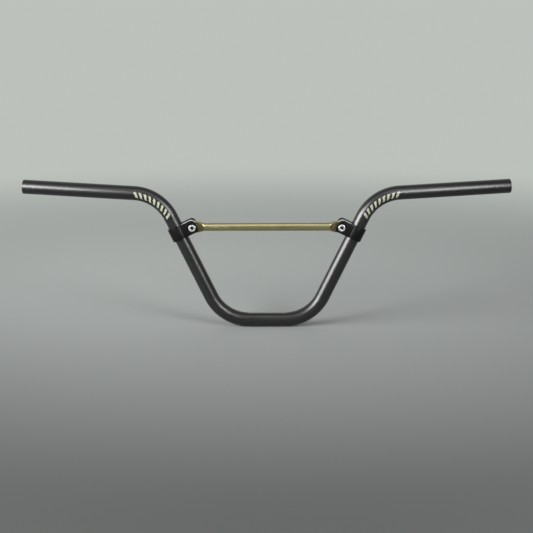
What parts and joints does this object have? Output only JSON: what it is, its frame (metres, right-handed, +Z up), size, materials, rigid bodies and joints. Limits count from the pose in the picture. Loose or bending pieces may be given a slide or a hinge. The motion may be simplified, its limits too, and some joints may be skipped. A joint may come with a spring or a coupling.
{
  "type": "bmx handlebar",
  "caption": "Bent tube bicycle handlebar, U-shaped in the middle, with swept grip ends and a round crossbar bolted between split clamps on its legs.",
  "frame": {"origin": "on the tube's axis at the middle of the bottom straight, where a stem clamps the bar", "axes": "+X along the bottom straight, +Y backwards towards the rider, +Z up in the plane of the legs. Left and right are as seen from the front, looking along +Y."},
  "size_m": [0.7646, 0.0505, 0.2308],
  "materials": {
    "bar_tube": "satin black anodised",
    "crossbar_gold": "satin pale gold anodised",
    "clamp_black": "black anodised",
    "bolt_steel": "bright zinc plated"
  },
  "bodies": {
    "root": {"handlebar": "bar_tube", "crossbar": "crossbar_gold", "clamp_left": "clamp_black", "clamp_right": "clamp_black", "clamp_bolts": "bolt_steel"}
  },
  "joints": []
}
